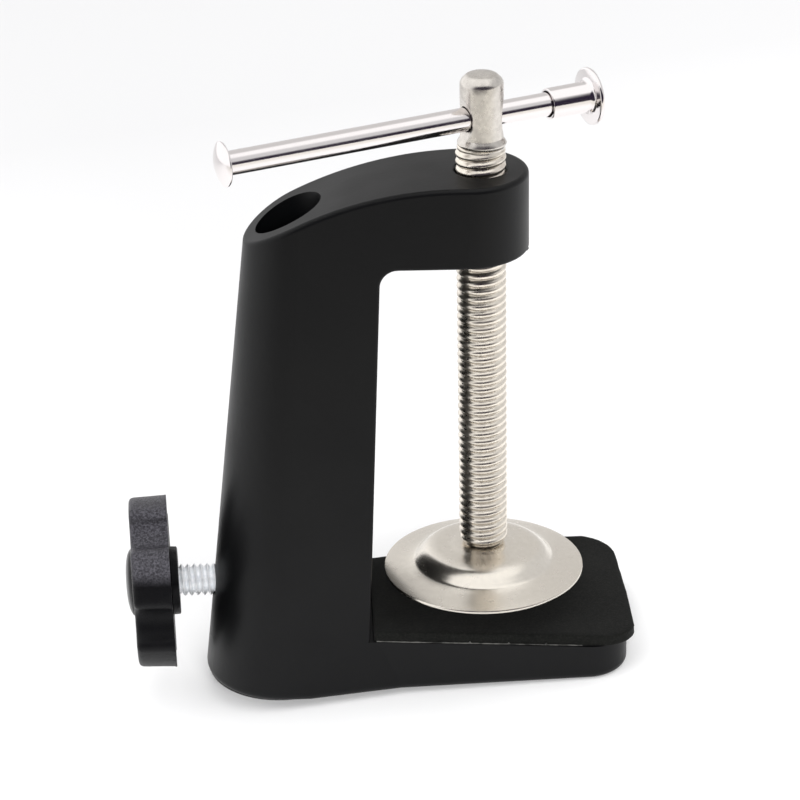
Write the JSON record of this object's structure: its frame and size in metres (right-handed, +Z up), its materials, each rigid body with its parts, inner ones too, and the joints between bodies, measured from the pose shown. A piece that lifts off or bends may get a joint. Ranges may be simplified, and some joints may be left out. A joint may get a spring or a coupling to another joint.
{
  "type": "desk clamp",
  "caption": "C-shaped desk clamp with a T-bar clamping screw, swivel pressure disc and a knob-locked socket for a lamp or arm pin.",
  "frame": {"origin": "on the axis of the socket bore, in the plane of the round foot", "axes": "+Z up the socket bore and the clamping screw, +X from the column to the tip of the plate, +Y away from the viewer"},
  "size_m": [0.0995, 0.044, 0.124],
  "materials": {
    "coated_casting": "satin black powder coat",
    "foam_pad": "matte closed-cell foam",
    "nickel_screw": "satin nickel plate on rolled thread",
    "nickel_disc": "satin nickel plate on pressed sheet",
    "bright_nickel": "polished nickel plate",
    "plain_steel": "plain steel washer",
    "black_plastic": "fine-grained moulded plastic",
    "bright_zinc": "bright zinc plate"
  },
  "bodies": {
    "casting": {"clamp_body": "coated_casting", "desk_pad": "foam_pad"},
    "screw_carrier": {"swivel_washer": "plain_steel"},
    "screw": {"clamp_screw": "nickel_screw"},
    "disc": {"pressure_disc": "nickel_disc"},
    "handle": {"tommy_bar": "bright_nickel", "tommy_bar_cap": "bright_nickel"},
    "stud_carrier": {"knob_stud": "bright_zinc"},
    "knob": {"knob": "black_plastic"}
  },
  "joints": [
    {"name": "screw_travel", "type": "slide", "parent": "casting", "child": "screw_carrier", "axis": [0, 0, 1], "range_m": [-0.00357, 0.0476]},
    {"name": "screw_turn", "type": "hinge", "parent": "screw_carrier", "child": "screw", "pos_m": [0.0362, 0, 0.0256], "axis": [0, 0, 1], "range_deg": [-810, 10800]},
    {"name": "disc_tilt", "type": "hinge", "parent": "screw_carrier", "child": "disc", "pos_m": [0.0362, 0, 0.0259], "axis": [0, 1, 0], "range_deg": [-4, 4]},
    {"name": "bar_slide", "type": "slide", "parent": "screw", "child": "handle", "axis": [0.9235, 0.3837, 0], "range_m": [-0.0093, 0.0458]},
    {"name": "knob_travel", "type": "slide", "parent": "casting", "child": "stud_carrier", "axis": [1, 0, 0], "range_m": [-0.0038, 0.0057]},
    {"name": "knob_turn", "type": "hinge", "parent": "stud_carrier", "child": "knob", "pos_m": [-0.02575, 0, 0.02], "axis": [1, 0, 0], "range_deg": [-1080, 1620]}
  ],
  "couplings": [
    {"joint": "screw_turn", "follows": "screw_travel", "rad_per_m": 3957.9},
    {"joint": "knob_turn", "follows": "knob_travel", "rad_per_m": 4947.4}
  ]
}
